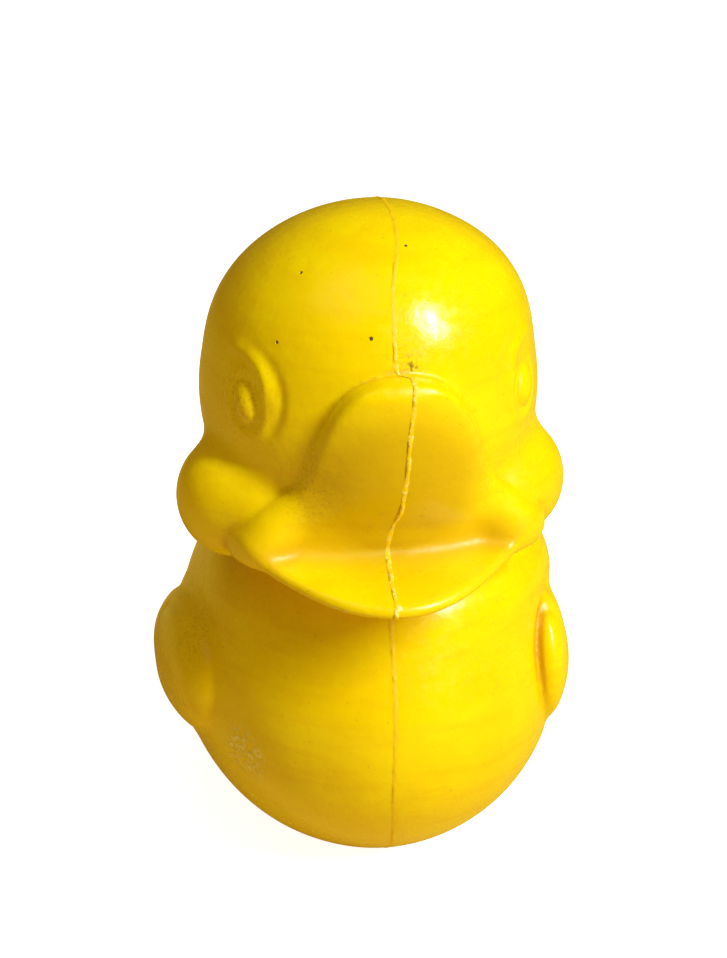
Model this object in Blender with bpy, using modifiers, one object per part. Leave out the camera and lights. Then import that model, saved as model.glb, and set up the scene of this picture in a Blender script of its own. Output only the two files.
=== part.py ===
"""A hollow rubber squeak toy: a duckling sitting on a flat base, made of two half shells bonded on the
middle plane, with a reed squeaker snapped into the base.

Metres, +Z up. The toy faces -Y, +X is its left side, and the origin is on the base plane, under the reed.
"""

import math

import bmesh
import bpy
from mathutils import Matrix, Vector

MM = 0.001

# ---- driving dimensions of the skin, in millimetres ----
BODY_CENTRE_X = 0.9
BODY_CENTRE_Y = -1.0
BODY_CENTRE_Z = 32.5
BODY_HALF_WIDTH = 37.5
BODY_HALF_LENGTH = 45.0
BODY_HALF_HEIGHT = 36.5
HEAD_CENTRE_Y = -11.0
HEAD_CENTRE_Z = 92.5
HEAD_RADIUS = 31.2
HEAD_HALF_HEIGHT = 32.5
SHIELD_REACH = 33.0  # from the head's centre to the bill's upright face
BILL_REACH = 42.8  # from the head's centre to the rim of the bill, before the fillets draw it in
BILL_HALF_WIDTH = 25.0
LIP_BACK = 24.0  # from the head's centre to the middle of the bill's lip
LIP_SLOPE = 30.0  # how steeply the lip runs down to its rim, in degrees
CHEEK_SPREAD = 25.5
WING_SPREAD = 31.8
TAIL_BACK = 42.7  # from the body's centre to the middle of the tail
TAIL_RISE = 38.0  # in degrees
RUMP_RISE = 16.0

# ---- walls and the bonded seam ----
WALL = 2.4
SEAM_WIDTH = 0.7
SEAM_HEIGHT = 0.4  # how far the bead stands out of the skin
PLAY = 0.3  # the gap left between neighbouring pieces

# ---- how the moulding has set: sideways shift of the crown and of the bill ----
CROWN_LEAN = 1.3
BILL_ROOT_SHIFT = 0.8
BILL_RIM_SHIFT = -1.8

# ---- how far the seam wanders from the middle of the form ----
SEAM_AT_CROWN = 2.3
SEAM_AT_FOREHEAD = -0.75
SEAM_AT_BILL = 0.8
SEAM_AT_BREAST = -1.1
SEAM_AT_BASE = 0.5

# ---- the opening in the base ----
HOLE_RADIUS = 8.0
COUNTERBORE_RADIUS = 9.6
COUNTERBORE_DEPTH = 1.6
COLLAR_RADIUS = 11.5
COLLAR_TOP = 4.5

# ---- the squeaker ----
BARREL_RADIUS = HOLE_RADIUS - 0.4
BARREL_WALL = 1.0
BARREL_TOP = 12.0
FLANGE_RADIUS = COUNTERBORE_RADIUS - 0.4
FLANGE_BOTTOM = PLAY
FLANGE_THICKNESS = 1.0
CUP_FLOOR = 1.5
SNAP_RADIUS = HOLE_RADIUS + 0.5
AIR_HOLE_RADIUS = 1.6
CAP_THICKNESS = 1.2
SPIGOT_DEPTH = 1.1
SOUND_HOLE_RADIUS = 0.9
SOUND_HOLE_RING = 3.6
SOUND_HOLES = 6
HOLDER_FLANGE = 1.2
HOLDER_RADIUS = 2.6
HOLDER_BORE = 1.3
HOLDER_TOP = 9.8
HOLDER_FLAT_Y = -1.8
SLOT_WIDTH = 1.2
SLOT_HEIGHT = 3.4
REED_WIDTH = 2.8
REED_THICKNESS = 0.25
REED_LENGTH = 6.7
REED_GAP = 0.35  # from the tongue at rest to the flat of its holder
CLAMP_RADIUS = 4.0
CLAMP_BORE = 2.95
CLAMP_HEIGHT = 1.8

HOLDER_BOTTOM = CUP_FLOOR + PLAY
REED_FOOT = HOLDER_BOTTOM + HOLDER_FLANGE + PLAY
CLAMP_BOTTOM = REED_FOOT + 0.1
REED_AXIS_Z = CLAMP_BOTTOM + CLAMP_HEIGHT
REED_AXIS_Y = HOLDER_FLAT_Y - REED_GAP - REED_THICKNESS / 2

# ---- mesh fineness ----
SKIN_VOXEL = 1.5
FILLET_PASSES = 9
SKIN_FACES = 3600
CAVITY_FACES = 2000
TURN_STEPS = 40
SLAB_CELLS = 40
BIG = 200.0  # larger than the toy, for cutters


def clear_scene():
    for obj in list(bpy.data.objects):
        bpy.data.objects.remove(obj, do_unlink=True)


def new_collection(name):
    collection = bpy.data.collections.new(name)
    bpy.context.scene.collection.children.link(collection)
    return collection


def material(name, colour, roughness, metallic=0.0):
    made = bpy.data.materials.new(name)
    made.use_nodes = True
    shader = made.node_tree.nodes["Principled BSDF"]
    shader.inputs["Base Color"].default_value = (*colour, 1.0)
    shader.inputs["Roughness"].default_value = roughness
    shader.inputs["Metallic"].default_value = metallic
    return made


def move_to(obj, collection):
    for held in list(obj.users_collection):
        held.objects.unlink(obj)
    collection.objects.link(obj)


def finish_piece(obj, name, look):
    """Names the piece, shades it and gives it its material."""
    obj.name = name
    obj.data.name = name
    obj.data.materials.clear()
    obj.data.materials.append(look)
    obj.data.shade_smooth()
    obj.data.set_sharp_from_angle(angle=math.radians(35))
    move_to(obj, PARTS)


def bake(obj):
    """Gives the object its own evaluated mesh in world space, with no modifiers and no transform left."""
    bpy.context.view_layer.update()
    graph = bpy.context.evaluated_depsgraph_get()
    mesh = bpy.data.meshes.new_from_object(obj.evaluated_get(graph))
    mesh.transform(obj.matrix_world)
    obj.modifiers.clear()
    obj.data = mesh
    obj.matrix_world = Matrix.Identity(4)


def combine(obj, other, operation):
    """A Boolean of the two, baked into obj. The other one is used up."""
    modifier = obj.modifiers.new(other.name, "BOOLEAN")
    modifier.object = other
    modifier.operation = operation
    bake(obj)
    bpy.data.objects.remove(other, do_unlink=True)


def copy_of(obj):
    twin = obj.copy()
    twin.data = obj.data.copy()
    bpy.context.scene.collection.objects.link(twin)
    return twin


# ---------------------------------------------------------------- cutters


def box(low, high):
    """A box between two corners, in millimetres."""
    low, high = Vector(low) * MM, Vector(high) * MM
    bpy.ops.mesh.primitive_cube_add(size=1.0, location=(low + high) / 2)
    obj = bpy.context.object
    obj.scale = high - low
    bake(obj)
    return obj


def rod(radius, bottom, top, x=0.0, y=0.0):
    """An upright cylinder, in millimetres."""
    bpy.ops.mesh.primitive_cylinder_add(
        vertices=TURN_STEPS,
        radius=radius * MM,
        depth=(top - bottom) * MM,
        location=(x * MM, y * MM, (bottom + top) / 2 * MM),
    )
    obj = bpy.context.object
    bake(obj)
    return obj


def turned(profile):
    """A solid turned about Z from (radius, height) points in millimetres, down its outer side first.

    The outline is closed by a last edge, unless both its ends are on the axis.
    """
    mesh = bpy.data.meshes.new("turned")
    points = [(radius * MM, 0.0, height * MM) for radius, height in profile]
    edges = [(i, i + 1) for i in range(len(points) - 1)]
    on_axis = profile[0][0] == 0.0 and profile[-1][0] == 0.0
    if not on_axis:
        edges.append((len(points) - 1, 0))
    mesh.from_pydata(points, edges, [])
    obj = bpy.data.objects.new("turned", mesh)
    bpy.context.scene.collection.objects.link(obj)
    screw = obj.modifiers.new("Turn", "SCREW")
    screw.steps = TURN_STEPS
    screw.render_steps = TURN_STEPS
    screw.use_merge_vertices = True
    screw.merge_threshold = 1e-5
    bake(obj)
    return obj


# ---------------------------------------------------------------- the skin


def ellipsoid(centre, radii, grow, tilt=0.0):
    """One swelling of the skin, made larger or smaller all round by grow. Millimetres and degrees about X."""
    bpy.ops.mesh.primitive_uv_sphere_add(
        segments=64,
        ring_count=32,
        radius=MM,
        location=Vector(centre) * MM,
        rotation=(math.radians(tilt), 0.0, 0.0),
    )
    obj = bpy.context.object
    obj.scale = [radius + grow for radius in radii]
    return obj


def both_sides(centre, radii, grow, tilt=0.0):
    x, y, z = centre
    return [ellipsoid((side * x, y, z), radii, grow, tilt) for side in (-1, 1)]


def body_forms(grow):
    x, y, z = BODY_CENTRE_X, BODY_CENTRE_Y, BODY_CENTRE_Z
    belly = ellipsoid((x, y, z), (BODY_HALF_WIDTH, BODY_HALF_LENGTH, BODY_HALF_HEIGHT), grow)
    rump = ellipsoid((0, y + 15, z + 9.5), (26, 34, 20), grow, tilt=RUMP_RISE)
    tail = ellipsoid((0, y + TAIL_BACK, z + 24.5), (13, 14, 7), grow, tilt=TAIL_RISE)
    neck = ellipsoid((x, y - 5, z + 22.5), (30.8, 30, 14), grow)
    wing_fronts = both_sides((WING_SPREAD - 0.4, y - 13, z + 2), (5.6, 16, 10.5), grow)
    wing_backs = both_sides((WING_SPREAD, y + 9, z - 2.5), (7.2, 18, 8.5), grow)
    return [belly, rump, tail, neck] + wing_fronts + wing_backs


def head_forms(grow):
    y, z = HEAD_CENTRE_Y, HEAD_CENTRE_Z
    skull = ellipsoid((0, y, z), (HEAD_RADIUS, HEAD_RADIUS, HEAD_HALF_HEIGHT), grow)
    jaw = ellipsoid((0, y - 2, z - 18), (25, 25, 13), grow)
    cheeks = both_sides((CHEEK_SPREAD, y - 8, z - 17), (9.8, 11, 11), grow)
    cheek_fronts = both_sides((CHEEK_SPREAD - 5, y - 15.5, z - 16), (6, 8, 6.5), grow)
    return [skull, jaw] + cheeks + cheek_fronts


def bill_forms(grow):
    """An upright shield against the face, a broad lip sloping out below it, and the corners of the mouth."""
    y, z = HEAD_CENTRE_Y, HEAD_CENTRE_Z
    shield = ellipsoid((0, y - 17, z - 6), (18, SHIELD_REACH - 17, 21), grow)
    lip_length = (BILL_REACH - LIP_BACK) / math.cos(math.radians(LIP_SLOPE))
    lip = ellipsoid((0, y - LIP_BACK, z - 17), (BILL_HALF_WIDTH, lip_length, 3.8), grow, tilt=LIP_SLOPE)
    corners = both_sides((BILL_HALF_WIDTH - 2.8, y - 21.5, z - 17), (3.4, 4.8, 5.6), grow)
    return [shield, lip] + corners


def skin(faces, grow=0.0):
    """The whole outer form as one closed smooth mesh of about so many faces, grown all round by grow mm."""
    forms = body_forms(grow) + head_forms(grow) + bill_forms(grow)
    bpy.ops.object.select_all(action="DESELECT")
    for form in forms:
        form.select_set(True)
    bpy.context.view_layer.objects.active = forms[0]
    bpy.ops.object.join()
    obj = bpy.context.object
    bake(obj)
    remesh = obj.modifiers.new("Merge", "REMESH")
    remesh.mode = "VOXEL"
    remesh.voxel_size = SKIN_VOXEL * MM
    smooth = obj.modifiers.new("Fillet", "SMOOTH")
    smooth.factor = 0.5
    smooth.iterations = FILLET_PASSES
    bake(obj)
    thin = obj.modifiers.new("Thin", "DECIMATE")
    thin.ratio = faces / (2 * len(obj.data.polygons))
    bake(obj)
    return obj


def base_cut(obj, height):
    """Flattens the object at a height above the floor."""
    combine(obj, box((-BIG, -BIG, -BIG), (BIG, BIG, height)), "DIFFERENCE")


def cavity():
    """The air space inside, with a floor, and with room left for the collar round the hole."""
    space = skin(CAVITY_FACES, -WALL)
    base_cut(space, WALL)
    combine(space, rod(COLLAR_RADIUS, -BIG, COLLAR_TOP), "DIFFERENCE")
    return space


def hollow(outer, space):
    """Cuts the air space and the stepped hole in the base out of a grown or plain skin."""
    base_cut(outer, 0.0)
    combine(outer, copy_of(space), "DIFFERENCE")
    combine(outer, rod(HOLE_RADIUS, -BIG, COLLAR_TOP + WALL), "DIFFERENCE")
    combine(outer, rod(COUNTERBORE_RADIUS, -BIG, COUNTERBORE_DEPTH), "DIFFERENCE")
    return outer


def ease(value, low, high):
    """0 below low and 1 above high, with a smooth rise between."""
    t = min(max((value - low) / (high - low), 0.0), 1.0)
    return t * t * (3 - 2 * t)


def set_of(y, z):
    """How far the moulding has set towards +X at a height and a depth. All in millimetres."""
    forward = HEAD_CENTRE_Y - y
    above = z - HEAD_CENTRE_Z
    crown = CROWN_LEAN * ease(above, 8, 36)
    shift = BILL_ROOT_SHIFT + (BILL_RIM_SHIFT - BILL_ROOT_SHIFT) * ease(-above, -2, 26)
    on_bill = ease(forward, 22, 30) * ease(above, -34, -27) * (1 - ease(above, 14, 20))
    return crown + shift * on_bill


def seam_of(y, z):
    """Where the seam is, from the middle plane, at a height and a depth. All in millimetres."""
    forward = HEAD_CENTRE_Y - y
    above = z - HEAD_CENTRE_Z
    on_bill = ease(forward, 27, 33) * (1 - ease(above, 11, 17))
    head = SEAM_AT_FOREHEAD + (SEAM_AT_CROWN - SEAM_AT_FOREHEAD) * ease(above, 23, 34)
    head += (SEAM_AT_BILL - head) * on_bill
    body = SEAM_AT_BREAST + (SEAM_AT_BASE - SEAM_AT_BREAST) * (1 - ease(z, 2, 24))
    on_head = ease(above, -34, -26)
    return set_of(y, z) + body + (head - body) * on_head


def lean(obj, shift_of):
    """Moves each point sideways by a shift that depends on its depth and height."""
    for vertex in obj.data.vertices:
        vertex.co.x += shift_of(vertex.co.y / MM, vertex.co.z / MM) * MM


def slab(low_x, high_x):
    """A block between two upright faces that follow the seam at these distances. Millimetres."""
    shape = bmesh.new()
    upright = Matrix.Rotation(math.radians(90), 4, "Y")
    place = Matrix.Translation(Vector((low_x, 0.0, BIG / 4)) * MM) @ upright
    bmesh.ops.create_grid(shape, x_segments=SLAB_CELLS, y_segments=SLAB_CELLS, size=BIG / 2 * MM, matrix=place)
    raised = bmesh.ops.extrude_face_region(shape, geom=shape.faces[:])["geom"]
    points = [item for item in raised if isinstance(item, bmesh.types.BMVert)]
    bmesh.ops.translate(shape, verts=points, vec=((high_x - low_x) * MM, 0.0, 0.0))
    bmesh.ops.recalc_face_normals(shape, faces=shape.faces[:])
    mesh = bpy.data.meshes.new("slab")
    shape.to_mesh(mesh)
    shape.free()
    obj = bpy.data.objects.new("slab", mesh)
    bpy.context.scene.collection.objects.link(obj)
    lean(obj, seam_of)
    return obj


def make_shells(space):
    edge = SEAM_WIDTH / 2 + PLAY
    right = hollow(skin(SKIN_FACES), space)
    lean(right, set_of)
    left = copy_of(right)
    combine(right, slab(-BIG, -edge), "INTERSECT")
    combine(left, slab(edge, BIG), "INTERSECT")
    finish_piece(right, "right_shell", RUBBER)
    finish_piece(left, "left_shell", RUBBER)


def make_seam_bead(space):
    bead = hollow(skin(SKIN_FACES, SEAM_HEIGHT), space)
    lean(bead, set_of)
    combine(bead, slab(-SEAM_WIDTH / 2, SEAM_WIDTH / 2), "INTERSECT")
    finish_piece(bead, "seam_bead", FLASH)


# ---------------------------------------------------------------- the squeaker


def make_housing():
    """The cup that is pushed up through the base: a flange below, and a snap bead above the collar."""
    flange_top = FLANGE_BOTTOM + FLANGE_THICKNESS
    snap_bottom = COLLAR_TOP + 0.4
    bore = BARREL_RADIUS - BARREL_WALL
    cup = turned(
        [
            (BARREL_RADIUS, BARREL_TOP),
            (BARREL_RADIUS, snap_bottom + 1.8),
            (SNAP_RADIUS, snap_bottom + 0.8),
            (SNAP_RADIUS, snap_bottom),
            (BARREL_RADIUS, snap_bottom),
            (BARREL_RADIUS, flange_top),
            (FLANGE_RADIUS, flange_top),
            (FLANGE_RADIUS, FLANGE_BOTTOM),
            (AIR_HOLE_RADIUS, FLANGE_BOTTOM),
            (AIR_HOLE_RADIUS, CUP_FLOOR),
            (bore, CUP_FLOOR),
            (bore, BARREL_TOP),
        ]
    )
    finish_piece(cup, "squeaker_housing", HOUSING_PLASTIC)


def make_cap():
    """The lid over the cup, with a ring of sound holes round a middle one."""
    under = BARREL_TOP + PLAY
    top = under + CAP_THICKNESS
    spigot = BARREL_RADIUS - BARREL_WALL - PLAY
    cap = turned(
        [
            (SOUND_HOLE_RADIUS, top),
            (BARREL_RADIUS - 0.5, top),
            (BARREL_RADIUS, top - 0.5),
            (BARREL_RADIUS, under),
            (spigot, under),
            (spigot, under - SPIGOT_DEPTH),
            (SOUND_HOLE_RADIUS, under - SPIGOT_DEPTH),
        ]
    )
    for i in range(SOUND_HOLES):
        turn = 2 * math.pi * i / SOUND_HOLES
        x = SOUND_HOLE_RING * math.cos(turn)
        y = SOUND_HOLE_RING * math.sin(turn)
        combine(cap, rod(SOUND_HOLE_RADIUS, 0.0, BIG, x, y), "DIFFERENCE")
    finish_piece(cap, "squeaker_cap", CAP_PLASTIC)


def make_reed_holder():
    """A closed tube on a foot, with a flat side and a slot that the tongue beats on."""
    foot_top = HOLDER_BOTTOM + HOLDER_FLANGE
    foot_radius = BARREL_RADIUS - BARREL_WALL - 0.4
    holder = turned(
        [
            (0.0, HOLDER_TOP),
            (HOLDER_RADIUS, HOLDER_TOP),
            (HOLDER_RADIUS, foot_top),
            (foot_radius, foot_top),
            (foot_radius, HOLDER_BOTTOM),
            (HOLDER_BORE, HOLDER_BOTTOM),
            (HOLDER_BORE, HOLDER_TOP - 0.7),
            (0.0, HOLDER_TOP - 0.7),
        ]
    )
    flat = box((-BIG, -BIG, foot_top), (BIG, HOLDER_FLAT_Y, BIG))
    combine(holder, flat, "DIFFERENCE")
    slot_top = HOLDER_TOP - 1.0
    slot = box((-SLOT_WIDTH / 2, -BIG, slot_top - SLOT_HEIGHT), (SLOT_WIDTH / 2, 0.0, slot_top))
    combine(holder, slot, "DIFFERENCE")
    finish_piece(holder, "reed_holder", HOLDER_PLASTIC)


def make_reed_clamp():
    top = CLAMP_BOTTOM + CLAMP_HEIGHT
    ring = turned(
        [
            (CLAMP_RADIUS - 0.3, top),
            (CLAMP_RADIUS, top - 0.3),
            (CLAMP_RADIUS, CLAMP_BOTTOM),
            (CLAMP_BORE, CLAMP_BOTTOM),
            (CLAMP_BORE, top),
        ]
    )
    finish_piece(ring, "reed_clamp", BRASS)


def make_reed_tongue():
    """The thin tongue, rounded at its free end, with its origin on the line it beats about."""
    bpy.ops.mesh.primitive_cube_add(size=1.0)
    tongue = bpy.context.object
    tongue.scale = Vector((REED_WIDTH, REED_THICKNESS, REED_LENGTH)) * MM
    tongue.location.z = (REED_FOOT + REED_LENGTH / 2 - REED_AXIS_Z) * MM
    bake(tongue)
    top = max(vertex.co.z for vertex in tongue.data.vertices)
    shape = bmesh.new()
    shape.from_mesh(tongue.data)
    corners = [
        edge
        for edge in shape.edges
        if min(vertex.co.z for vertex in edge.verts) > top - 1e-6
        and abs(edge.verts[0].co.x - edge.verts[1].co.x) < 1e-6
    ]
    bmesh.ops.bevel(shape, geom=corners, offset=REED_WIDTH * 0.4 * MM, segments=5, affect="EDGES")
    shape.to_mesh(tongue.data)
    shape.free()
    tongue.location = (0.0, REED_AXIS_Y * MM, REED_AXIS_Z * MM)
    finish_piece(tongue, "reed_tongue", REED_FILM)


clear_scene()
PARTS = new_collection("squeak_duckling")
RUBBER = material("yellow_rubber", (0.90, 0.62, 0.0), 0.36)
FLASH = material("seam_flash", (0.93, 0.68, 0.05), 0.5)
HOUSING_PLASTIC = material("housing_plastic", (0.86, 0.85, 0.80), 0.35)
CAP_PLASTIC = material("cap_plastic", (0.82, 0.80, 0.74), 0.4)
HOLDER_PLASTIC = material("holder_plastic", (0.75, 0.10, 0.06), 0.35)
REED_FILM = material("reed_film", (0.85, 0.86, 0.86), 0.25)
BRASS = material("clamp_brass", (0.80, 0.60, 0.25), 0.3, metallic=1.0)

AIR = cavity()
make_shells(AIR)
make_seam_bead(AIR)
bpy.data.objects.remove(AIR, do_unlink=True)
make_housing()
make_cap()
make_reed_holder()
make_reed_clamp()
make_reed_tongue()
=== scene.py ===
import math

import bpy
import numpy as np
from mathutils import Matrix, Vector


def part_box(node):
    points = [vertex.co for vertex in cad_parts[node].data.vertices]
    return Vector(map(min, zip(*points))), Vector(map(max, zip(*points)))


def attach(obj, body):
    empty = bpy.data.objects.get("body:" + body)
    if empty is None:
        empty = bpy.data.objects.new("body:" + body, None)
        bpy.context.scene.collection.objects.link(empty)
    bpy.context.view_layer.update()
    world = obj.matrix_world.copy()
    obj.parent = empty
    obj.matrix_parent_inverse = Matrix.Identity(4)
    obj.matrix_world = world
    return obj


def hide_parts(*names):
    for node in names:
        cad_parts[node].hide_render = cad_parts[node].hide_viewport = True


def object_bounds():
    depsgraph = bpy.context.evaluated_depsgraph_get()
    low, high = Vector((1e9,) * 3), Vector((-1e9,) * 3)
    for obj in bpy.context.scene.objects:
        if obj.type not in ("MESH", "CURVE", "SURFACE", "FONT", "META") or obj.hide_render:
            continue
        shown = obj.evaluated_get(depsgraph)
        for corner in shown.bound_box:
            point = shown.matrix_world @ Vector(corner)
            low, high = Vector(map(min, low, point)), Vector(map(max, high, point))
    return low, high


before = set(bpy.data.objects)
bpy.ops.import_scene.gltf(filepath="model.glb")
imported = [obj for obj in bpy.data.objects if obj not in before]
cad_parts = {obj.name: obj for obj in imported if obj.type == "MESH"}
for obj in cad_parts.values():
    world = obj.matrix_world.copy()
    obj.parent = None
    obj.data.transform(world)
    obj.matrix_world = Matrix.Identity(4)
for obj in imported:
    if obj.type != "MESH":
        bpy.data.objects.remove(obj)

# The looks of the squeak duckling. Its rubber skin is one smooth form worked out as a distance field, cut into
# two half shells on a wandering seam, with a ragged bead of flash on the seam. Lengths are millimetres until
# they become mesh points. x is to the toy's left, y to its back and z up. On the head, places are given as
# across, forward and above, measured from the head's centre. A swelling of the form is an ellipsoid, given by
# its centre and its half sizes.

MM = 0.001
CAD_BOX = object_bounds()
CAD_LOW, CAD_HIGH = (np.array(corner) / MM for corner in CAD_BOX)

# ---- driving sizes ----
HEAD_RADIUS = 30.7
HEAD_HALF_HEIGHT = 32.5
BILL_REACH = 42.8  # from the head's centre forward to the rim
HEAD_Y = CAD_LOW[1] + BILL_REACH
HEAD_Z = CAD_HIGH[2] - HEAD_HALF_HEIGHT
BODY_Y = HEAD_Y + 10
WALL = 2.4

# ---- the body ----
TRUNK = ((1.3, BODY_Y, 32.5), (37.0, 45.0, 36.5))
BODY_SWELLINGS = (  # centre, half sizes, tilt in degrees and width of the fillet
    ((0, BODY_Y + 15, 42), (26, 34, 20), 16, 12),  # the rump
    ((0, BODY_Y + 42.7, 57), (13, 14, 7), 38, 12),  # the tail
    ((4.4, BODY_Y - 5, 55), (30.0, 30, 14), 0, 10),  # the neck
)

# ---- the wings ----
WING_SPREAD = 31.8
WING_MIDDLE = ((WING_SPREAD + 1.0, BODY_Y - 1, 35), (6.4, 19, 10.5))
WING_BACK = ((WING_SPREAD, BODY_Y + 9, 31), (7.2, 18, 8.5))
WING_FILLET = 5.0
WING_EDGE = (0.3, 1.3)  # depth and width of the crease round a wing
FEATHER_ROWS = (14, 20, 26)  # how far behind the middle of the wing's front each groove runs
FEATHER_GROOVE = (0.4, 0.9)  # depth and width
WING_PITS = ((33.6, BODY_Y - 16.2, 52.2), (31.6, BODY_Y - 22.4, 48.7))  # at the front of the left wing
PIT_SIZE = (0.9, 1.9)  # depth and width

# ---- the head ----
HEAD_SWELLINGS = (  # centre, half sizes and width of the fillet
    ((0.2, 0, 11.5), (28.3, 28.3, 20.4), 3.0),  # the broad crown
    ((0, 2, -18), (25, 25, 13), 8),  # the jaw
)
CHEEK = ((25.5, 8, -17), (10, 11, 11))
CHEEK_FRONT = ((20.5, 15.5, -16), (6, 8, 6.5))  # where cheek and bill meet
CHEEK_SET = 0.8  # how far both cheeks have set to the toy's right

# ---- an eye ----
EYE = np.array((25.1, 18.1, 4.3))
EYE_LEAN = 22  # degrees
SOCKET = (4.1, 5.2)  # half width and half height
SOCKET_DEPTH = 0.5
LID_HEIGHT = 0.18
BALL = (2.7, 3.8)
BALL_HEIGHT = 1.5
BROW = ((-3.0, 1.1), 8.1, 1.3, -12, 125)  # centre, radius, width, and first and last angle
BROW_HEIGHT = 0.8
BROW_GROOVE = ((-0.9, 1.2), 8.4, 1.0, -60, 120)
BROW_GROOVE_DEPTH = 0.4

# ---- the bill's upright face ----
SHIELD_REACH = 34.8
SHIELD_TOP = 12.0
SHIELD_ARCH = 14  # how far down the rounded top reaches
SHIELD_HALF_WIDTH = 13.0
SHIELD_CORE = 16.0  # from here forward the face bulges
SHIELD_BULGE = 21.5
SHIELD_ROLL = 7.3  # how far the bulge falls back towards top and foot
SHIELD_FOOT = 24  # below the head's centre

# ---- the bill's lip ----
LIP_HALF_WIDTH = 25.0
LIP_RIM = 26.0  # how far below the head's centre the middle of the rim is
LIP_ROUND = 19  # how far back the rim runs towards the corners
LIP_LIFT = 4.2  # how far the rim rises towards the corners
LIP_SLOPE = 0.2
LIP_THICKNESS = (1.0, 1.2)  # above and below the rim's line
LIP_BACK = 19.5
LIP_FILLET = 5.5
MOUTH_CORNER = ((21.0, 21.4, -17.8), (4.4, 4.8, 5.0))
MOUTH_CORNER_FILLET = 4.5

# ---- how far the soft moulding has set sideways ----
CROWN_SET = 1.3
BILL_ROOT_SET = 0.1
BILL_RIM_SET = 1.3

# ---- the seam: how far it wanders to the side, and the bead on it ----
FOREHEAD_DRIFT = -0.75
CROWN_DRIFT = 3.1
BILL_ROOT_DRIFT = 1.8
BILL_DRIFTS = ((1.0, -12, 0), (0.6, 0, 14), (1.7, 19, 26))  # how far, from and to how far below the centre
BODY_DRIFT = -0.7
BELLY_DRIFT = 0.6
BASE_DRIFT = 1.2
SEAM_HALF_WIDTH = 0.4
SEAM_HEIGHT = 0.34
BEAD_LIFT = 0.06  # the bead starts this far above the base, clear of the shells' own base faces
SHELL_EDGE = 0.22  # where each shell starts, hidden inside the bead

# ---- wear, as places on the toy and radii ----
ROOT_MARK = ((2.2, BODY_Y - 38.8, 106.0), 1.4)  # the dirt where the seam meets the bill
PINHOLES = (
    ((-14.1, BODY_Y - 23.7, 118.7), 0.35),
    ((-19.3, BODY_Y - 30.0, 108.7), 0.35),
    ((-4.3, BODY_Y - 36.7, 110.8), 0.45),
    ((4.0, BODY_Y - 23.9, 122.5), 0.35),
    ((24.0, BODY_Y - 33.0, 75.5), 0.35),
)
CHIPS = (
    ((-2.2, BODY_Y - 52.2, 67.8), 0.8),
    ((-12.8, BODY_Y - 48.6, 66.6), 0.7),
    ((-11.2, BODY_Y - 49.6, 66.3), 0.7),
)
SCUFF = ((-26.6, BODY_Y - 29.0, 28.3), 7.0)
BILL_FACE_SHADE = ((0.0, HEAD_Y - 32, HEAD_Z - 8), 20)  # painted shade over the bill's face
BILL_SEAM = ((0.0, HEAD_Y - 38, HEAD_Z - 8), 28)  # where the bead is chipped pale
DIRTY_PLACES = (
    ((-EYE[0], HEAD_Y - EYE[1], HEAD_Z + EYE[2]), 11.0),
    ((1.5, HEAD_Y - 28, HEAD_Z + 14), 6.0),
    ((-14.0, HEAD_Y - 26, HEAD_Z - 8), 11.0),
    ((19.0, HEAD_Y - 27, HEAD_Z - 8), 7.0),
    ((-33.0, BODY_Y - 12, 44), 10.0),
    ((18.8, BODY_Y - 38, 42.4), 3.0),
)

# ---- colours of the rubber and the bead ----
YELLOW = (0.92, 0.69, 0.0)
PALE_YELLOW = (0.96, 0.76, 0.0)
STREAK_YELLOW = (0.86, 0.58, 0.0)
# painted shade: the brown laid into the creases
CREASE_SHADE = (0.66, 0.36, 0.0)
# painted shade: the brown laid over the bill's face
FACE_SHADE_BROWN = (0.62, 0.41, 0.0)
DIRT_BROWN = (0.20, 0.11, 0.01)
CHIPPED = (1.0, 0.86, 0.42)
PINHOLE_BLACK = (0.12, 0.08, 0.02)
BEAD_YELLOW = (0.90, 0.63, 0.0)
BEAD_CHIPPED = (1.0, 0.84, 0.30)

# ---- the opening in the base, from the squeaker that sits in it ----
PLAY = 0.4  # round the housing
housing_low, housing_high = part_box("squeaker_housing")
COUNTERBORE_RADIUS = housing_high.x / MM + PLAY
HOLE_RADIUS = COUNTERBORE_RADIUS - 1.6  # the step that the housing's flange rests against
COUNTERBORE_DEPTH = housing_low.z / MM + 1.3
COLLAR_RADIUS = HOLE_RADIUS + 3.5
COLLAR_TOP = 4.5

# ---- the studio, in metres ----
FLOOR_SIZE = 6.0
FLOOR_GAP = 0.0001  # under the base, so that the two faces do not mix
FLOOR_GLOW = 0.9  # what makes the floor look white
FLOOR_BOUNCE = (0.68, 0.53, 0.10, 1.0)
FLOOR_BOUNCE_GLOW = 0.12
CAMERA_ANGLES = (-10, 25)
CAMERA_DISTANCE = 0.42
CAMERA_LENS = 83.6
CAMERA_SHIFT = (-0.002, 0.047)

# ---- mesh fineness ----
SKIN_STEP = 0.62
BEAD_STEP = 0.3
BLOCK = 4  # grid nodes along one side of a block in the first, coarse pass


# ---------------------------------------------------------------- field tools


def ease(value, low, high):
    """0 below low and 1 above high, with a smooth rise between."""
    t = np.clip((value - low) / (high - low), 0.0, 1.0)
    return t * t * (3 - 2 * t)


def ramp(value, softness):
    """0 below zero and the value itself above, with a rounded corner."""
    return (value + np.sqrt(value * value + softness * softness)) / 2


def hill(value, width):
    """1 at zero, falling away smoothly on both sides."""
    return np.exp(-((value / width) ** 2))


def join(a, b, blend):
    """The union of two fields, with a fillet about as wide as blend."""
    near = np.maximum(blend - np.abs(a - b), 0.0) / blend
    return np.minimum(a, b) - near * near * blend / 4


def cut(a, b, blend):
    """What is inside both fields, with a rounded edge about as wide as blend."""
    return -join(-a, -b, blend)


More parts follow.
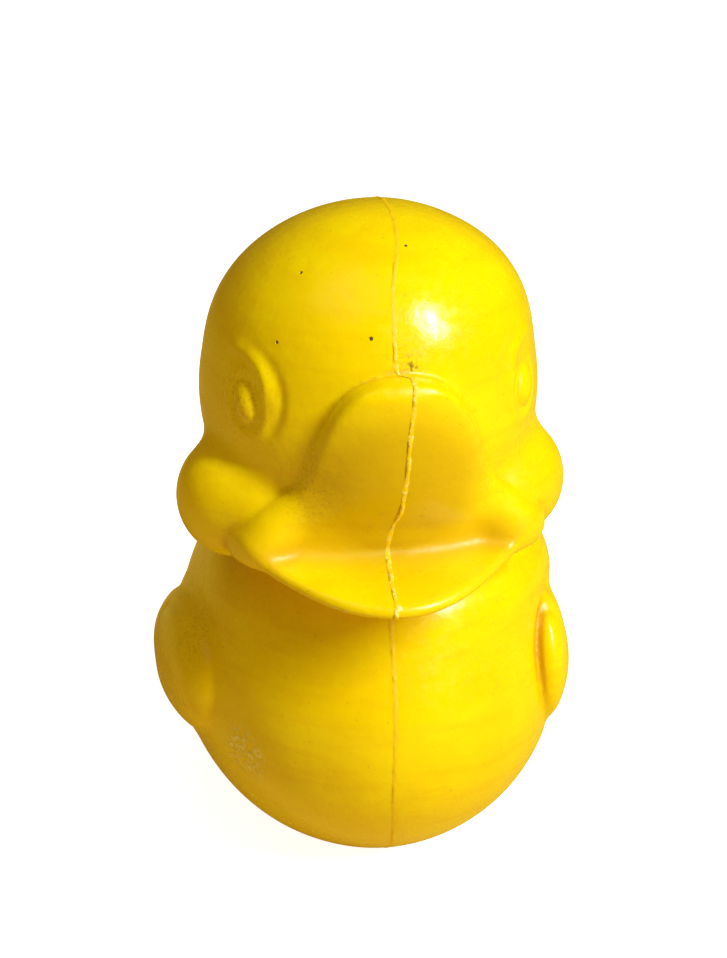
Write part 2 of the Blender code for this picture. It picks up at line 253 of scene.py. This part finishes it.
def ellipsoid(x, y, z, centre, radii, tilt=0.0):
    """Distance to an ellipsoid, tilted by some degrees about x."""
    x, y, z = x - centre[0], y - centre[1], z - centre[2]
    if tilt:
        c, s = math.cos(math.radians(tilt)), math.sin(math.radians(tilt))
        y, z = c * y + s * z, c * z - s * y
    near = np.sqrt((x / radii[0]) ** 2 + (y / radii[1]) ** 2 + (z / radii[2]) ** 2)
    steep = np.sqrt((x / radii[0] ** 2) ** 2 + (y / radii[1] ** 2) ** 2 + (z / radii[2] ** 2) ** 2)
    return near * (near - 1) / np.maximum(steep, 1e-6)


def ripple(x, y, z, wavelength, seed, waves=9):
    """Smooth seeded noise between about -1 and 1, made of waves in many directions."""
    chance = np.random.default_rng(seed)
    total = 0.0
    for _ in range(waves):
        heading = chance.normal(size=3)
        heading *= 2 * math.pi / (wavelength * chance.uniform(0.7, 1.5) * np.linalg.norm(heading))
        phase = chance.uniform(0, 2 * math.pi)
        total = total + np.sin(heading[0] * x + heading[1] * y + heading[2] * z + phase)
    return total / math.sqrt(waves)


# ---------------------------------------------------------------- the form


def set_of(y, z):
    """How far the moulding has set sideways at a depth and a height: the crown one way, the bill the other."""
    forward, above = HEAD_Y - y, z - HEAD_Z
    crown = CROWN_SET * ease(above, 8, 36)
    on_bill = ease(forward, 22, 30) * ease(above, -34, -27) * (1 - ease(above, 14, 20))
    return crown + (BILL_ROOT_SET - BILL_RIM_SET * ease(-above, 10, 26)) * on_bill


def drift_of(y, z):
    """How far the seam wanders from the middle of the form."""
    forward, above = HEAD_Y - y, z - HEAD_Z
    on_bill = ease(forward, 28.5, 31.5) * (1 - ease(above, 13, 17))
    on_head = ease(above, -34, -26)
    head = CROWN_DRIFT * ease(above, 23, 34) + FOREHEAD_DRIFT
    bill = BILL_ROOT_DRIFT
    for drift, first, last in BILL_DRIFTS:
        bill = bill - drift * ease(-above, first, last)
    body = BODY_DRIFT - BELLY_DRIFT * hill(z - 30, 12) + BASE_DRIFT * (1 - ease(z, 2, 24))
    return body * (1 - on_head) + (head * (1 - on_bill) + bill * on_bill) * on_head


def wing(m, y, z, side):
    """A wing on the flank, with a deep rounded front and rows of feather grooves. The left one sits higher."""
    middle_y, middle_z = BODY_Y - 11 - 4 * side, 37 + side
    front = ellipsoid(m, y, z, (WING_SPREAD - 0.4, middle_y, middle_z), (5.6, 14.5, 12.8 + 1.8 * side))
    back = ellipsoid(m, y, z, *WING_BACK)
    middle = ellipsoid(m, y, z, *WING_MIDDLE)
    behind = np.hypot(y - middle_y, 1.5 * (z - middle_z)) - 3 * ripple(0, y, z, 30, seed=5, waves=3)
    depth, width = FEATHER_GROOVE
    grooves = sum(hill(behind - row, width) for row in FEATHER_ROWS)
    plain = join(join(front, back, WING_FILLET), middle, WING_FILLET)
    return plain + depth * grooves * ease(y - middle_y, 0, 8)


def body_field(x, y, z):
    """The body with its neck, rump, tail and wings."""
    field = ellipsoid(x, y, z, *TRUNK)
    for centre, radii, tilt, fillet in BODY_SWELLINGS:
        field = join(field, ellipsoid(x, y, z, centre, radii, tilt), fillet)
    side = np.sign(x)
    folded = wing(np.abs(x), y, z, side)
    depth, width = WING_EDGE
    field = join(field, folded, 2.7 - 1.2 * side) + depth * hill(folded - field, width)
    depth, width = PIT_SIZE
    for pit in WING_PITS:
        distance = np.sqrt((x - pit[0]) ** 2 + (y - pit[1]) ** 2 + (z - pit[2]) ** 2)
        field = field + depth * hill(distance, width)
    return field


def arc_height(across, up, centre, radius, width, first, last):
    """A ridge on a circle's line between two angles in degrees, fading out at both ends."""
    across, up = across - centre[0], up - centre[1]
    angle = np.degrees(np.arctan2(up, across))
    fade = ease(angle, first, first + 35) * (1 - ease(angle, last - 35, last))
    return hill(np.hypot(across, up) - radius, width) * fade


def eye_height(m, forward, above):
    """The relief of one eye on the plain head: socket, lids, ball, brow and the groove round the brow."""
    reach = math.hypot(EYE[0], EYE[1])
    across = ((m - EYE[0]) * -EYE[1] + (forward - EYE[1]) * EYE[0]) / reach
    up = above - EYE[2]
    lean = math.radians(EYE_LEAN)
    across_ball = across * math.cos(lean) + up * math.sin(lean)
    up_ball = up * math.cos(lean) - across * math.sin(lean)
    socket = np.hypot(across_ball / SOCKET[0], up_ball / SOCKET[1])
    ball = np.hypot((across_ball + 0.3) / BALL[0], (up_ball - 0.2) / BALL[1])
    height = -SOCKET_DEPTH * (1 - ease(socket, 0.5, 1.2)) + LID_HEIGHT * hill(socket - 1.1, 0.18)
    height = height + BALL_HEIGHT * np.sqrt(ramp(1 - ball * ball, 0.1))
    height = height + BROW_HEIGHT * arc_height(across, up, *BROW)
    height = height - BROW_GROOVE_DEPTH * arc_height(across, up, *BROW_GROOVE)
    near = (np.abs(across) < 14) & (np.abs(up) < 15) & (m + forward > 20)
    return np.where(near, height, 0.0)


def shield_field(m, forward, above):
    """The bill's upright face: a bell in outline, bulging out of the head, and cut off under its foot."""
    rise = np.clip((SHIELD_TOP + 1 - above) / SHIELD_ARCH, 0, 1)
    flare = 6.5 * ease(-above, 7, 20)
    arch = SHIELD_HALF_WIDTH * np.sqrt(ramp(1 - (1 - rise) ** 2, 0.04))
    half_width = arch + 0.32 * ramp(3 - above, 4) + flare
    bulge_width = SHIELD_BULGE + flare
    bulge_depth = SHIELD_REACH - SHIELD_CORE - SHIELD_ROLL * np.minimum(((above - 6) / 25) ** 2, 2)
    run = np.maximum(forward - SHIELD_CORE, 0)
    level = (m / bulge_width) ** 2 + (run / bulge_depth) ** 2
    steep = 2 * np.sqrt((m / bulge_width**2) ** 2 + (run / bulge_depth**2) ** 2)
    bulge = (level - 1) / np.maximum(steep, 0.03)
    field = cut(bulge, 0.9 * (m - half_width), 1.6)
    field = cut(field, above - SHIELD_TOP - 0.2, 3)
    return cut(field, np.maximum(-SHIELD_FOOT - above, 8 - forward), 2)


def lip_field(m, forward, above):
    """The bill's broad lip: a plate sloping forward and down to a rounded rim, with its corners turned up."""
    spread = m / LIP_HALF_WIDTH
    rim_forward = BILL_REACH - LIP_ROUND * spread**2
    steep = np.sqrt(1 + (2 * LIP_ROUND * spread / LIP_HALF_WIDTH) ** 2)
    inside = (rim_forward - forward) / steep
    rim = LIP_LIFT * spread**2 - LIP_RIM
    top = (above - (rim + LIP_THICKNESS[0] + LIP_SLOPE * np.clip(inside, -3, 14))) * 0.97
    plate = cut(cut(-inside, top, 1.6), rim - LIP_THICKNESS[1] - above, 1.6)
    return cut(plate, LIP_BACK - forward, 3.0)


def bill_field(m, forward, above):
    """The whole bill, with the lobes at the corners of the mouth."""
    field = join(shield_field(m, forward, above), lip_field(m, forward, above), LIP_FILLET)
    outward = 0.4 * (-17 - above)
    return join(field, ellipsoid(m - outward, forward, above, *MOUTH_CORNER), MOUTH_CORNER_FILLET)


def head_field(x, y, z):
    """The head with its eyes, cheeks and bill."""
    m = np.abs(x)
    forward, above = HEAD_Y - y, z - HEAD_Z
    radii = (HEAD_RADIUS, HEAD_RADIUS, HEAD_HALF_HEIGHT)
    field = ellipsoid(x, y, z, (0, HEAD_Y, HEAD_Z), radii) - eye_height(m, forward, above)
    for centre, radii, fillet in HEAD_SWELLINGS:
        field = join(field, ellipsoid(x, forward, above, centre, radii), fillet)
    cheek = ellipsoid(np.abs(x + CHEEK_SET), forward, above, *CHEEK)
    cheek = join(cheek, ellipsoid(m, forward, above, *CHEEK_FRONT), 8)
    field = join(field, cheek, 3.5)
    return join(field, bill_field(m, forward, above), 0.5)


def skin_field(x, y, z):
    """Distance to the outside of the whole skin, before it sets sideways."""
    field = join(body_field(x, y, z), head_field(x, y, z), 2.0)
    return field - 0.06 * ripple(x, y, z, 17, seed=3)


# ---------------------------------------------------------------- cut pieces


def round_opening(x, y, radius, top, z):
    """Outside an upright round hole that reaches from below up to some height."""
    return np.minimum(radius - np.hypot(x, y), top - z)


def air_space(skin, x, y, z):
    """Outside the hollow, which leaves a floor, and a collar round the hole."""
    collar = np.maximum(np.hypot(x, y) - COLLAR_RADIUS, z - COLLAR_TOP)
    return np.minimum(-skin - WALL, np.minimum(z - WALL, collar))


def shell_fields(side):
    """The fields whose overlap is one half shell, as a function of (distance from the seam, y, z)."""

    def fields(points):
        u, y, z = points.T
        x = drift_of(y, z) + side * u
        skin = skin_field(x, y, z)
        hole = round_opening(x, y, HOLE_RADIUS, COLLAR_TOP + WALL, z)
        cuts = (SHELL_EDGE - u, -z, air_space(skin, x, y, z), hole)
        return np.stack((skin, *cuts, round_opening(x, y, COUNTERBORE_RADIUS, COUNTERBORE_DEPTH, z)))

    return fields


def bead_fields(points):
    """The raised bead: thin, uneven in height and width, and chipped in places."""
    u, y, z = points.T
    x = drift_of(y, z) + u
    skin = skin_field(x, y, z)
    worn = 0.5 + 0.4 * ripple(0, y, z, 6, seed=11) + 0.35 * ripple(0, y, z, 1.9, seed=12)
    on_bill = ease(HEAD_Y - y, 27, 32) * ease(z - HEAD_Z, -30, -26)
    height = SEAM_HEIGHT * np.clip(worn, 0.25, 1.3) * (0.4 + 0.6 * on_bill)
    shift = 0.05 * np.clip(ripple(0, y, z, 3, seed=13), -1, 1)
    across = np.abs(u - shift) / SEAM_HALF_WIDTH
    top = skin - height * (1 - 0.6 * across**2)
    ragged = np.clip(0.95 + 0.25 * ripple(0, y, z, 2.5, seed=14), 0.75, 1.4)
    sides = np.abs(u - shift) - SEAM_HALF_WIDTH * ragged
    hole = round_opening(x, y, HOLE_RADIUS, COLLAR_TOP + WALL, z)
    cuts = (BEAD_LIFT - z, air_space(skin, x, y, z), hole)
    return np.stack((top, sides, *cuts, round_opening(x, y, COUNTERBORE_RADIUS, COUNTERBORE_DEPTH, z)))


# ---------------------------------------------------------------- field to mesh


def sample(fields, low, high, step):
    """The largest field and its index on a grid. Blocks far from the surface keep one coarse value."""
    counts = np.ceil((high - low) / step).astype(int) + 1
    counts = -(-counts // BLOCK) * BLOCK
    middles = [low[i] + step[i] * (np.arange(0, counts[i], BLOCK) + (BLOCK - 1) / 2) for i in range(3)]
    coarse = np.stack(np.meshgrid(*middles, indexing="ij"), -1).reshape(-1, 3)
    rough = fields(coarse).max(axis=0).reshape([len(m) for m in middles])
    near = np.abs(rough) < 1.0 * BLOCK * np.linalg.norm(step)
    for axis in range(3):
        rough = np.repeat(rough, BLOCK, axis)
        near = np.repeat(near, BLOCK, axis)
    fine = fields(low + step * np.argwhere(near))
    value = rough
    value[near] = fine.max(axis=0)
    which = np.zeros(value.shape, np.int8)
    which[near] = fine.argmax(axis=0)
    return value, which


def crossings(value, which, axis):
    """The grid edges along one axis that the surface crosses.

    Gives each one's start node, the place along it, the field crossed and whether it starts inside.
    """
    size = value.shape[axis]
    start = np.take(value, range(size - 1), axis)
    end = np.take(value, range(1, size), axis)
    crossed = np.argwhere((start < 0) != (end < 0))
    first = tuple(crossed.T)
    second = crossed.copy()
    second[:, axis] += 1
    second = tuple(second.T)
    a, b = value[first], value[second]
    field = np.where(a > b, which[first], which[second])
    return crossed, a / (a - b), field, a < 0


def settle(points, active, fields, step, rounds=5):
    """Moves each point onto the zero surface of every field that is active there."""
    start = points.copy()
    nudge = 0.02
    for _ in range(rounds):
        for index in range(active.shape[1]):
            chosen = active[:, index]
            if not chosen.any():
                continue
            here = points[chosen]
            value = fields(here)[index]
            slope = np.empty_like(here)
            for axis in range(3):
                moved = here.copy()
                moved[:, axis] += nudge
                slope[:, axis] = (fields(moved)[index] - value) / nudge
            steep = np.maximum((slope**2).sum(axis=1), 0.04)
            points[chosen] = here - slope * (value / steep)[:, None]
    stray = (np.abs(points - start) > 1.2 * step).any(axis=1)
    points[stray] = start[stray]
    return points


def surface_net(fields, low, high, step):
    """Points and quads of the surface round the overlap of all the fields, sharp where two of them meet."""
    value, which = sample(fields, low, high, step)
    shape = np.array(value.shape)
    total = int(shape.prod())
    strides = np.array((shape[1] * shape[2], shape[2], 1))
    sums, counts = np.zeros((3, total)), np.zeros(total)
    kinds = int(which.max()) + 1
    touched = np.zeros((kinds, total), bool)
    quads = []
    for axis in range(3):
        nodes, along, field, starts_inside = crossings(value, which, axis)
        places = nodes.astype(float)
        places[:, axis] += along
        b, c = (axis + 1) % 3, (axis + 2) % 3
        base = nodes @ strides
        cells = np.stack((base, base - strides[b], base - strides[b] - strides[c], base - strides[c]))
        for ring in cells:
            counts += np.bincount(ring, minlength=total)
            for i in range(3):
                sums[i] += np.bincount(ring, weights=places[:, i], minlength=total)
            touched[field, ring] = True
        cells[:, ~starts_inside] = cells[::-1, ~starts_inside]
        quads.append(cells.T)
    used = np.flatnonzero(counts)
    points = low + step * (sums[:, used] / counts[used]).T
    number = np.zeros(total, int)
    number[used] = np.arange(len(used))
    points = settle(points, touched[:, used].T, fields, step)
    return points, number[np.concatenate(quads)]


def crease_of(points):
    """How deep in a hollow of the skin each point is: 0 in the open and on bulges, towards 1 in a crease. The
    rubber's colour takes painted shade from it.
    """
    x, y, z = points.T
    reach, nudge = 2.2, 0.05
    value = skin_field(x, y, z)
    slopes = [skin_field(x + nudge, y, z), skin_field(x, y + nudge, z), skin_field(x, y, z + nudge)]
    normal = (np.stack(slopes) - value) / nudge
    normal /= np.maximum(np.linalg.norm(normal, axis=0), 1e-6)
    out = skin_field(x + reach * normal[0], y + reach * normal[1], z + reach * normal[2])
    return np.clip(1 - (out - value) / reach, 0, 1)


def new_piece(name, points, quads, look):
    """A mesh object made of quads, riding on the toy."""
    mesh = bpy.data.meshes.new(name)
    mesh.vertices.add(len(points))
    mesh.vertices.foreach_set("co", (points * MM).astype(np.float32).ravel())
    mesh.loops.add(quads.size)
    mesh.loops.foreach_set("vertex_index", quads.astype(np.int32).ravel())
    mesh.polygons.add(len(quads))
    mesh.polygons.foreach_set("loop_start", np.arange(0, quads.size, 4, dtype=np.int32))
    mesh.update(calc_edges=True)
    mesh.validate()
    mesh.shade_smooth()
    mesh.set_sharp_from_angle(angle=math.radians(50))
    mesh.materials.append(look)
    obj = bpy.data.objects.new(name, mesh)
    bpy.context.scene.collection.objects.link(obj)
    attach(obj, "toy")
    return obj


def add_attribute(obj, name, values):
    layer = obj.data.attributes.new(name, "FLOAT", "POINT")
    layer.data.foreach_set("value", values.astype(np.float32))


def form_box():
    """The corners of the grid, a little outside the CAD model's box."""
    margin = 3 * SKIN_STEP + 1
    return CAD_LOW - margin, CAD_HIGH + margin


def make_shell(name, side, look):
    """One half shell of the skin. Side is -1 for the toy's right half and 1 for its left."""
    low, high = form_box()
    low[0] = -2 * SKIN_STEP
    step = np.full(3, SKIN_STEP)
    points, quads = surface_net(shell_fields(side), low, high, step)
    u, y, z = points.T
    on_form = np.stack((drift_of(y, z) + side * u, y, z), -1)
    points = on_form + np.outer(set_of(y, z), (1.0, 0.0, 0.0))
    if side < 0:
        quads = quads[:, ::-1]
    obj = new_piece(name + "_skin", points, quads, look)
    # the crease depth paints shade into the creases and makes them matt
    add_attribute(obj, "crease", crease_of(on_form))
    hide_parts(name)


def make_bead(look):
    """The bead of flash, meshed on a grid that is finer across it than along it."""
    low, high = form_box()
    step = np.array((0.5, 1.0, 1.0)) * BEAD_STEP
    low[0], high[0] = -1.2, 1.2
    points, quads = surface_net(bead_fields, low, high, step)
    u, y, z = points.T
    points = np.stack((set_of(y, z) + drift_of(y, z) + u, y, z), -1)
    obj = new_piece("seam_flash", points, quads, look)
    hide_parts("seam_bead")


# ---------------------------------------------------------------- looks


class Look:
    """A node material being put together."""

    def __init__(self, name):
        self.material = bpy.data.materials.new(name)
        self.material.use_nodes = True
        self.tree = self.material.node_tree
        self.shader = self.tree.nodes["Principled BSDF"]
        self.place = self.add("TexCoord").outputs["Object"]

    def add(self, kind, inputs=None, **settings):
        node = self.tree.nodes.new("ShaderNode" + kind)
        for key, value in settings.items():
            setattr(node, key, value)
        for key, value in (inputs or {}).items():
            self.feed(node.inputs[key], value)
        return node

    def feed(self, socket, value):
        if isinstance(value, bpy.types.NodeSocket):
            self.tree.links.new(value, socket)
        else:
            socket.default_value = value

    def surface(self, **values):
        """Sets inputs of the main shader, each named after its label."""
        for key, value in values.items():
            self.feed(self.shader.inputs[key.replace("_", " ").title()], value)

    def noise(self, size, detail=3.0, stretch=(1.0, 1.0, 1.0)):
        """Noise with lumps of about this many millimetres, and longer along an axis with a small stretch."""
        place = self.add("Mapping", {"Vector": self.place, "Scale": stretch}).outputs["Vector"]
        inputs = {"Vector": place, "Scale": 1 / (size * MM), "Detail": detail}
        return self.add("TexNoise", inputs).outputs["Fac"]

    def attribute(self, name):
        return self.add("Attribute", attribute_name=name).outputs["Fac"]

    def span(self, value, low, high, first=0.0, last=1.0):
        """first where the value is below low, last where it is above high."""
        inputs = {"Value": value, "From Min": low, "From Max": high, "To Min": first, "To Max": last}
        return self.add("MapRange", inputs, interpolation_type="SMOOTHSTEP").outputs["Result"]

    def math(self, operation, a, b=0.0):
        return self.add("Math", {0: a, 1: b}, operation=operation).outputs[0]

    def mix(self, amount, first, second):
        node = self.add("Mix", {0: amount}, data_type="RGBA")
        for socket, colour in ((node.inputs[6], first), (node.inputs[7], second)):
            self.feed(socket, (*colour, 1.0) if isinstance(colour, tuple) else colour)
        return node.outputs[2]

    def near(self, point, radius, soft=0.5):
        """1 within a radius of a point, fading over the last part of it. Millimetres."""
        inputs = {0: self.place, 1: Vector(point) * MM}
        distance = self.add("VectorMath", inputs, operation="DISTANCE").outputs["Value"]
        return self.span(distance, radius * MM * (1 - soft), radius * MM, 1.0, 0.0)

    def bump(self, height, distance, below=None):
        """Millimetres of relief from a height between 0 and 1, on top of another bump."""
        inputs = {"Height": height, "Distance": distance * MM, "Strength": 1.0}
        if below is not None:
            inputs["Normal"] = below
        return self.add("Bump", inputs).outputs["Normal"]


def either(look, masks):
    """The strongest of several masks."""
    strongest = masks[0]
    for mask in masks[1:]:
        strongest = look.math("MAXIMUM", strongest, mask)
    return strongest


def rubber_look():
    """Old satin rubber: cloudy yellow, with painted shade in its creases and over the bill's face, and with
    pinholes, dirt, scuffs and chips.
    """
    look = Look("old_yellow_rubber")
    crease = look.attribute("crease")
    grain = look.noise(0.35, 4)
    streak = look.noise(2.5, 5, stretch=(0.15, 0.15, 1.0))
    blotch = look.span(look.noise(14, 4), 0.35, 0.7)

    speck = look.span(look.noise(0.9, 2), 0.70, 0.76)
    dirty_places = [look.near(point, radius, 0.8) for point, radius in DIRTY_PLACES]
    dirt = look.math("MULTIPLY", look.span(look.noise(0.5, 5), 0.5, 0.66), either(look, dirty_places))
    dirt = look.math("MAXIMUM", look.math("MULTIPLY", dirt, 0.3), look.math("MULTIPLY", speck, 0.3))
    pinhole = either(look, [look.near(point, radius) for point, radius in PINHOLES])
    ragged = look.math("MULTIPLY", look.near(*ROOT_MARK, 0.6), look.span(look.noise(0.9, 5), 0.50, 0.58))
    pinhole = look.math("MAXIMUM", pinhole, look.math("MULTIPLY", ragged, 0.7))

    flaked = look.math("MULTIPLY", look.near(*SCUFF, 0.6), look.span(look.noise(1.1, 5), 0.50, 0.56))
    chip = either(look, [look.near(point, radius) for point, radius in CHIPS])
    pale = look.math("MAXIMUM", look.math("MULTIPLY", flaked, 0.8), chip)

    streaked = look.math("MULTIPLY", look.span(streak, 0.45, 0.7), 0.35)
    # painted shade: the bill's face darkened
    face_shade = look.math("MULTIPLY", look.near(*BILL_FACE_SHADE), 0.75)

    colour = look.mix(blotch, YELLOW, PALE_YELLOW)
    colour = look.mix(streaked, colour, STREAK_YELLOW)
    # painted shade: browner the deeper the crease
    colour = look.mix(look.span(crease, 0.1, 0.75), colour, CREASE_SHADE)
    colour = look.mix(face_shade, colour, FACE_SHADE_BROWN)
    colour = look.mix(dirt, colour, DIRT_BROWN)
    colour = look.mix(pale, colour, CHIPPED)
    colour = look.mix(pinhole, colour, PINHOLE_BLACK)

    normal = look.bump(look.noise(3.0, 4), 0.12)
    normal = look.bump(streak, 0.05, normal)
    normal = look.bump(grain, 0.02, normal)
    normal = look.bump(look.math("SUBTRACT", pale, pinhole), 0.15, normal)
    polish = look.span(look.noise(2.0, 5), 0.3, 0.7, 0.15, 0.28)
    matt = either(look, [dirt, pale, crease])
    rough = look.math("ADD", polish, look.math("MULTIPLY", matt, 0.45))
    look.surface(base_color=colour, normal=normal, roughness=rough)
    look.surface(subsurface_weight=0.1, subsurface_scale=0.003, subsurface_radius=(1.0, 0.45, 0.05))
    look.feed(look.shader.inputs["Specular IOR Level"], 0.42)
    return look.material


def flash_look():
    """The bead of flash: the rubber's own yellow, chipped paler where it crosses the bill."""
    look = Look("seam_flash")
    on_bill = look.near(*BILL_SEAM, 0.3)
    fleck = look.math("MULTIPLY", look.span(look.noise(0.5, 4), 0.54, 0.62), on_bill)
    colour = look.mix(fleck, BEAD_YELLOW, BEAD_CHIPPED)
    look.surface(base_color=colour, roughness=0.5, normal=look.bump(look.noise(0.5, 3), 0.08))
    return look.material


def plastic_look(name, colour, roughness, speckle=0.12):
    """Moulded plastic: faintly cloudy, with a fine matt grain."""
    look = Look(name)
    dark = tuple(part * (1 - speckle) for part in colour)
    cloudy = look.mix(look.span(look.noise(1.6, 4), 0.35, 0.7), colour, dark)
    rough = look.span(look.noise(0.5, 4), 0.3, 0.7, roughness - 0.07, roughness + 0.07)
    look.surface(base_color=cloudy, roughness=rough, normal=look.bump(look.noise(0.2, 3), 0.01))
    return look.material


def brass_look():
    """Brass with brown tarnish and a fine grain."""
    look = Look("drawn_brass")
    tarnish = look.span(look.noise(0.9, 5), 0.4, 0.7)
    colour = look.mix(tarnish, (0.80, 0.58, 0.24), (0.42, 0.27, 0.10))
    look.surface(base_color=colour, metallic=1.0, roughness=look.span(tarnish, 0, 1, 0.25, 0.5))
    look.surface(normal=look.bump(look.noise(0.15, 2), 0.01))
    return look.material


def film_look():
    """Clear film gone hazy."""
    look = Look("reed_film")
    haze = look.noise(0.6, 4)
    colour = look.mix(haze, (0.85, 0.87, 0.87), (0.72, 0.74, 0.73))
    look.surface(base_color=colour, transmission_weight=0.35)
    look.surface(roughness=look.span(haze, 0.3, 0.7, 0.15, 0.3))
    return look.material


def dress_squeaker():
    """Gives the squeaker's CAD parts their finish."""
    looks = {
        "squeaker_housing": ("housing", plastic_look("housing_plastic", (0.86, 0.85, 0.80), 0.4)),
        "squeaker_cap": ("cap", plastic_look("cap_plastic", (0.82, 0.80, 0.74), 0.42)),
        "reed_holder": ("holder", plastic_look("holder_plastic", (0.75, 0.10, 0.06), 0.35)),
        "reed_clamp": ("clamp", brass_look()),
        "reed_tongue": ("reed", film_look()),
    }
    for node, (slot, material) in looks.items():
        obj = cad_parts[node]
        obj.data.materials.clear()
        obj.data.materials.append(material)


# ---------------------------------------------------------------- studio


def make_floor():
    """A plain pale floor. It looks nearly white, throws a little warm light up, and is clear from below."""
    bpy.ops.mesh.primitive_plane_add(size=FLOOR_SIZE, location=(0.0, 0.0, CAD_BOX[0].z - FLOOR_GAP))
    floor = bpy.context.object
    floor.name = "floor"
    look = Look("pale_floor")
    seen = look.mix(look.noise(40, 2), (0.92, 0.92, 0.92), (0.96, 0.96, 0.96))
    look.surface(base_color=seen, roughness=0.7, emission_strength=FLOOR_GLOW)
    look.feed(look.shader.inputs["Emission Color"], (1.0, 1.0, 1.0, 1.0))
    diffuse = look.add("BsdfDiffuse", {"Color": FLOOR_BOUNCE}).outputs["BSDF"]
    glow = look.add("Emission", {"Color": FLOOR_BOUNCE, "Strength": FLOOR_BOUNCE_GLOW}).outputs["Emission"]
    bounce = look.add("AddShader", {0: diffuse, 1: glow}).outputs["Shader"]
    to_camera = look.add("LightPath").outputs["Is Camera Ray"]
    top = look.add("MixShader", {0: to_camera, 1: bounce, 2: look.shader.outputs["BSDF"]}).outputs["Shader"]
    from_below = look.add("NewGeometry").outputs["Backfacing"]
    clear = look.add("BsdfTransparent").outputs["BSDF"]
    whole = look.add("MixShader", {0: from_below, 1: top, 2: clear}).outputs["Shader"]
    look.feed(look.tree.nodes["Material Output"].inputs["Surface"], whole)
    floor.data.materials.append(look.material)


def make_world(colour, strength):
    """Light from all round, with a plain white backdrop where the camera sees past the floor."""
    world = bpy.data.worlds.new("studio")
    world.use_nodes = True
    bpy.context.scene.world = world
    tree = world.node_tree
    lit = tree.nodes["Background"]
    lit.inputs["Color"].default_value = (*colour, 1.0)
    lit.inputs["Strength"].default_value = strength
    backdrop = tree.nodes.new("ShaderNodeBackground")
    backdrop.inputs["Color"].default_value = (1.0, 1.0, 1.0, 1.0)
    path = tree.nodes.new("ShaderNodeLightPath")
    blend = tree.nodes.new("ShaderNodeMixShader")
    tree.links.new(path.outputs["Is Camera Ray"], blend.inputs[0])
    tree.links.new(lit.outputs[0], blend.inputs[1])
    tree.links.new(backdrop.outputs[0], blend.inputs[2])
    tree.links.new(blend.outputs[0], tree.nodes["World Output"].inputs["Surface"])


def direction(azimuth, elevation):
    """The unit vector towards a place round the toy. Azimuth 0 is in front of it, and 90 on its left."""
    turn, rise = math.radians(azimuth), math.radians(elevation)
    return Vector((math.sin(turn) * math.cos(rise), -math.cos(turn) * math.cos(rise), math.sin(rise)))


def make_lamp(name, target, azimuth, elevation, distance, size, power, glossy=True):
    """An oblong area lamp that faces the target."""
    data = bpy.data.lights.new(name, "AREA")
    data.shape = "RECTANGLE"
    data.size, data.size_y = size
    data.energy = power
    lamp = bpy.data.objects.new(name, data)
    away = direction(azimuth, elevation)
    lamp.location = target + away * distance
    lamp.rotation_mode = "QUATERNION"
    lamp.rotation_quaternion = away.to_track_quat("Z", "Y")
    lamp.visible_glossy = glossy
    bpy.context.scene.collection.objects.link(lamp)


def make_camera(target):
    """Close, from a little to the toy's right and above."""
    away = direction(*CAMERA_ANGLES)
    data = bpy.data.cameras.new("camera")
    data.sensor_width = 36.0
    data.lens = CAMERA_LENS
    data.shift_x, data.shift_y = CAMERA_SHIFT
    data.clip_start = 0.01
    camera = bpy.data.objects.new("camera", data)
    camera.location = target + away * CAMERA_DISTANCE
    camera.rotation_mode = "QUATERNION"
    camera.rotation_quaternion = away.to_track_quat("Z", "Y")
    bpy.context.scene.collection.objects.link(camera)
    bpy.context.scene.camera = camera


def make_studio():
    """The floor, the light and the camera, all aimed at the middle of the toy."""
    middle = Vector((0.0, (HEAD_Y + 3) * MM, CAD_BOX[1].z / 2))
    make_floor()
    make_world(colour=(1.0, 0.54, 0.12), strength=0.2)
    make_lamp("key", middle, azimuth=41, elevation=39, distance=0.9, size=(0.11, 0.42), power=8.6)
    make_lamp("fill", middle, azimuth=-60, elevation=70, distance=0.9, size=(0.5, 0.5), power=1.3, glossy=False)
    make_camera(middle)
    bpy.context.scene.view_settings.view_transform = "Standard"


RUBBER = rubber_look()
make_shell("right_shell", -1, RUBBER)
make_shell("left_shell", 1, RUBBER)
make_bead(flash_look())
dress_squeaker()
make_studio()
